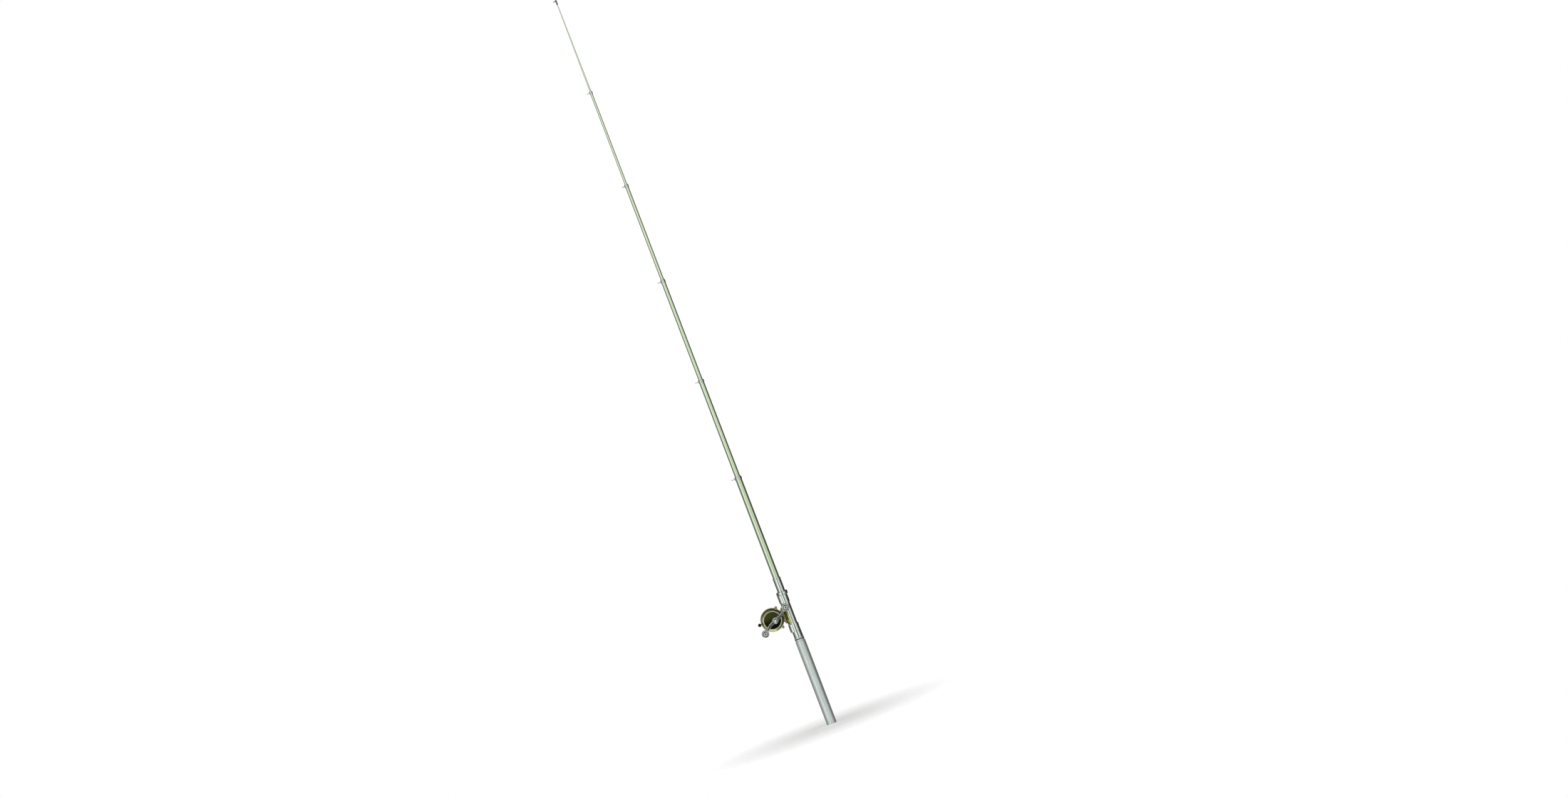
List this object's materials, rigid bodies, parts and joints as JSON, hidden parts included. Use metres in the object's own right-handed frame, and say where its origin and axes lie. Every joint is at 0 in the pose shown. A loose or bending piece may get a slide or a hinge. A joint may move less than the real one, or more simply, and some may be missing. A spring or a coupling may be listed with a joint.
{
  "type": "telescopic pocket fishing rod with drum reel",
  "caption": "Pocket telescopic fishing rod with a satin metal barrel handle, chrome reel seat and a miniature gold and black drum reel with a double crank.",
  "frame": {"origin": "centre of the butt's end face", "axes": "+Z along the rod from butt to tip; the reel hangs on -X; the crank faces -Y"},
  "size_m": [0.0502, 0.0367, 0.9784],
  "materials": {
    "barrel": "satin anodised",
    "seat_chrome": "polished chrome plate",
    "blank": "glossy champagne-gold lacquer on glass fibre",
    "guide_steel": "bright plated steel",
    "tip_steel": "dark plated steel",
    "rubber": "matt black",
    "gold_brass": "polished gold-coloured plate",
    "bead_gold": "bright polished",
    "black_cap": "glossy black",
    "steel": "bright steel",
    "bearing_brass": "turned",
    "spool_alloy": "gold anodised",
    "line": "clear nylon monofilament",
    "crank_chrome": "polished chrome plate"
  },
  "bodies": {
    "handle": {"handle_tube": "barrel", "butt_cap": "barrel", "butt_cushion": "rubber", "seat_tube": "seat_chrome", "rear_hood": "seat_chrome", "seat_collar": "seat_chrome", "seal_ring": "rubber", "reel_foot": "gold_brass", "reel_stand": "gold_brass", "stand_rivets": "bearing_brass", "crank_side_plate": "gold_brass", "far_side_plate": "gold_brass", "crank_side_cover": "gold_brass", "far_side_cover": "gold_brass", "crank_side_ring": "bead_gold", "far_side_ring": "bead_gold", "crank_side_cap": "black_cap", "far_side_cap": "black_cap", "frame_pillars": "gold_brass", "pillar_screws": "steel", "stand_screws": "steel", "cover_screws": "steel", "spool_bushes": "bearing_brass", "drive_bushes": "bearing_brass", "lever_post": "steel", "lever_clip": "steel"},
    "hood": {"sliding_hood": "seat_chrome"},
    "section_6": {"rod_section_6": "blank", "line_guide_6": "guide_steel"},
    "section_5": {"rod_section_5": "blank", "line_guide_5": "guide_steel"},
    "section_4": {"rod_section_4": "blank", "line_guide_4": "guide_steel"},
    "section_3": {"rod_section_3": "blank", "line_guide_3": "guide_steel"},
    "section_2": {"rod_section_2": "blank", "line_guide_2": "guide_steel"},
    "section_1": {"rod_section_1": "blank", "tip_guide": "tip_steel"},
    "spool": {"spool": "spool_alloy", "wound_line": "line", "spool_shaft": "steel", "pinion": "bearing_brass"},
    "crank": {"drive_shaft": "steel", "drive_gear": "bearing_brass", "ratchet_wheel": "steel", "crank_washer": "crank_chrome", "crank_arm": "crank_chrome", "crank_nut": "crank_chrome", "knob_rivets": "crank_chrome"},
    "knob_one": {"knob_1": "crank_chrome"},
    "knob_two": {"knob_2": "crank_chrome"},
    "lever": {"lever": "gold_brass", "lever_knob": "black_cap", "lever_spring": "steel"}
  },
  "joints": [
    {"name": "section_6_slide", "type": "slide", "parent": "handle", "child": "section_6", "axis": [0, 0, 1], "range_m": [-0.1327, 0]},
    {"name": "section_5_slide", "type": "slide", "parent": "section_6", "child": "section_5", "axis": [0, 0, 1], "range_m": [-0.1267, 0]},
    {"name": "section_4_slide", "type": "slide", "parent": "section_5", "child": "section_4", "axis": [0, 0, 1], "range_m": [-0.1307, 0]},
    {"name": "section_3_slide", "type": "slide", "parent": "section_4", "child": "section_3", "axis": [0, 0, 1], "range_m": [-0.1247, 0]},
    {"name": "section_2_slide", "type": "slide", "parent": "section_3", "child": "section_2", "axis": [0, 0, 1], "range_m": [-0.1217, 0]},
    {"name": "section_1_slide", "type": "slide", "parent": "section_2", "child": "section_1", "axis": [0, 0, 1], "range_m": [-0.1167, 0]},
    {"name": "hood_slide", "type": "slide", "parent": "handle", "child": "hood", "axis": [0, 0, 1], "range_m": [0, 0.016]},
    {"name": "crank_turn", "type": "hinge", "parent": "handle", "child": "crank", "pos_m": [-0.02034, -0.0145, 0.14791], "axis": [0, -1, 0], "continuous": true},
    {"name": "spool_spin", "type": "hinge", "parent": "handle", "child": "spool", "pos_m": [-0.0237, 0, 0.1492], "axis": [0, -1, 0], "continuous": true},
    {"name": "knob_one_spin", "type": "hinge", "parent": "crank", "child": "knob_one", "pos_m": [-0.00265, -0.0198, 0.15922], "axis": [0, -1, 0], "continuous": true},
    {"name": "knob_two_spin", "type": "hinge", "parent": "crank", "child": "knob_two", "pos_m": [-0.03803, -0.0198, 0.1366], "axis": [0, -1, 0], "continuous": true},
    {"name": "lever_tilt", "type": "hinge", "parent": "handle", "child": "lever", "pos_m": [-0.0335, -0.0103, 0.1492], "axis": [0, -1, 0], "range_deg": [-12, 0]}
  ],
  "couplings": [
    {"joint": "spool_spin", "follows": "crank_turn", "ratio": -2}
  ]
}
